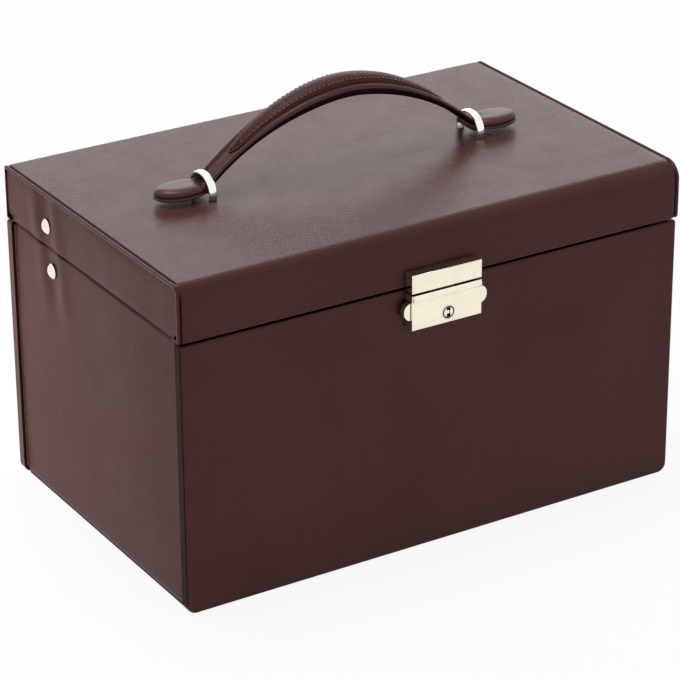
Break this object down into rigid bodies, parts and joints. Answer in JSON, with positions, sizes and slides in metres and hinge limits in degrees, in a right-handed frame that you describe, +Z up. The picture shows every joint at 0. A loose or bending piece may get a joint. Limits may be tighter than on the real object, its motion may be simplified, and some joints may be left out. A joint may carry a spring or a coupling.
{
  "type": "jewelry case",
  "caption": "Leather-covered jewelry case with a hinged lid, lifting trays, front lock and arched carry handle.",
  "frame": {"origin": "middle of the underside, on the surface that the case stands on", "axes": "+X to the case's right seen from the front, +Y to the back, +Z up"},
  "size_m": [0.2816, 0.1896, 0.2152],
  "materials": {
    "case_leather": "smooth dark burgundy-brown leather cloth with a fine pebble grain",
    "handle_leather": "smooth dark burgundy leather, stitched",
    "board": "raw fibreboard",
    "base_cloth": "dark felt",
    "lining_velvet": "short beige velvet",
    "soft_velvet": "padded beige velvet",
    "mirror_glass": "silvered glass",
    "nickel": "warm polished nickel plate",
    "steel": "zinc-plated steel"
  },
  "bodies": {
    "case_body": {"body_front_board": "board", "body_back_board": "board", "body_left_board": "board", "body_right_board": "board", "body_base_board": "board", "body_front_cover": "case_leather", "body_back_cover": "case_leather", "body_left_cover": "case_leather", "body_right_cover": "case_leather", "body_base_sheet": "base_cloth", "body_lining": "lining_velvet", "base_floor_pad": "soft_velvet", "base_dividers": "lining_velvet", "hinge_body_leaves": "steel", "hinge_pins": "steel", "body_arm_rivets": "nickel", "lock_case": "nickel", "lock_back_plate": "steel", "lock_pins": "steel", "lock_key_post": "nickel", "lock_detent_spring": "steel"},
    "lid": {"lid_top_board": "board", "lid_front_rail": "board", "lid_back_rail": "board", "lid_left_rail": "board", "lid_right_rail": "board", "lid_wrap_cover": "case_leather", "lid_left_cover": "case_leather", "lid_right_cover": "case_leather", "lid_lining": "lining_velvet", "lid_mirror": "mirror_glass", "lid_mirror_frame": "lining_velvet", "hinge_lid_leaves": "steel", "lid_arm_rivets": "nickel", "lid_strike_plate": "nickel", "lid_lock_tongue": "steel", "handle_loops": "nickel", "handle_loop_washers": "steel", "handle_strap": "handle_leather", "handle_core": "handle_leather"},
    "lift_arms": {"lift_arms": "steel", "arm_pivot_pins": "steel"},
    "upper_tray": {"upper_tray_walls": "lining_velvet", "upper_tray_floor": "lining_velvet", "upper_tray_dividers": "lining_velvet", "ring_rolls": "soft_velvet", "upper_tray_ears": "steel", "upper_pivot_pins": "steel"},
    "short_links": {"short_links": "steel", "link_pivot_pins": "steel"},
    "lower_tray": {"lower_tray_walls": "lining_velvet", "lower_tray_floor": "lining_velvet", "lower_tray_dividers": "lining_velvet", "watch_pillows": "soft_velvet", "lower_tray_hangers": "steel"},
    "lock_slide": {"lock_slide_bar": "nickel"},
    "lock_key": {"lock_key_barrel": "nickel", "lock_cam": "steel"},
    "handle_left": {"handle_tab_left": "handle_leather"},
    "handle_right": {"handle_tab_right": "handle_leather"}
  },
  "joints": [
    {"name": "lid_hinge", "type": "hinge", "parent": "case_body", "child": "lid", "pos_m": [0, 0.091, 0.1396], "axis": [-1, 0, 0], "range_deg": [0, 95]},
    {"name": "upper_tray_pivot", "type": "hinge", "parent": "lid", "child": "upper_tray", "pos_m": [0, 0.0441, 0.1508], "axis": [-1, 0, 0], "range_deg": [-95, 0]},
    {"name": "lift_arm_pivot", "type": "hinge", "parent": "case_body", "child": "lift_arms", "pos_m": [0, 0.0422, 0.1277], "axis": [-1, 0, 0], "range_deg": [0, 95]},
    {"name": "lower_tray_pivot", "type": "hinge", "parent": "lift_arms", "child": "lower_tray", "pos_m": [0, 0.01875, 0.1333], "axis": [-1, 0, 0], "range_deg": [-95, 0]},
    {"name": "short_link_pivot", "type": "hinge", "parent": "upper_tray", "child": "short_links", "pos_m": [0, -0.062, 0.133], "axis": [-1, 0, 0], "range_deg": [0, 95]},
    {"name": "lock_slide_travel", "type": "slide", "parent": "case_body", "child": "lock_slide", "axis": [1, 0, 0], "range_m": [-0.0025, 0.0025]},
    {"name": "key_turn", "type": "hinge", "parent": "case_body", "child": "lock_key", "pos_m": [0.0006, -0.096, 0.1256], "axis": [0, 1, 0], "range_deg": [0, 90]},
    {"name": "handle_left_slide", "type": "slide", "parent": "lid", "child": "handle_left", "axis": [-1, 0, 0], "range_m": [0, 0.009], "deforming": ["handle_strap", "handle_core"]},
    {"name": "handle_right_slide", "type": "slide", "parent": "lid", "child": "handle_right", "axis": [1, 0, 0], "range_m": [0, 0.009]}
  ],
  "couplings": [
    {"joint": "upper_tray_pivot", "follows": "lid_hinge", "ratio": -1},
    {"joint": "lift_arm_pivot", "follows": "lid_hinge", "ratio": 1},
    {"joint": "lower_tray_pivot", "follows": "lid_hinge", "ratio": -1},
    {"joint": "short_link_pivot", "follows": "lid_hinge", "ratio": 1},
    {"joint": "handle_right_slide", "follows": "handle_left_slide", "ratio": 1}
  ]
}
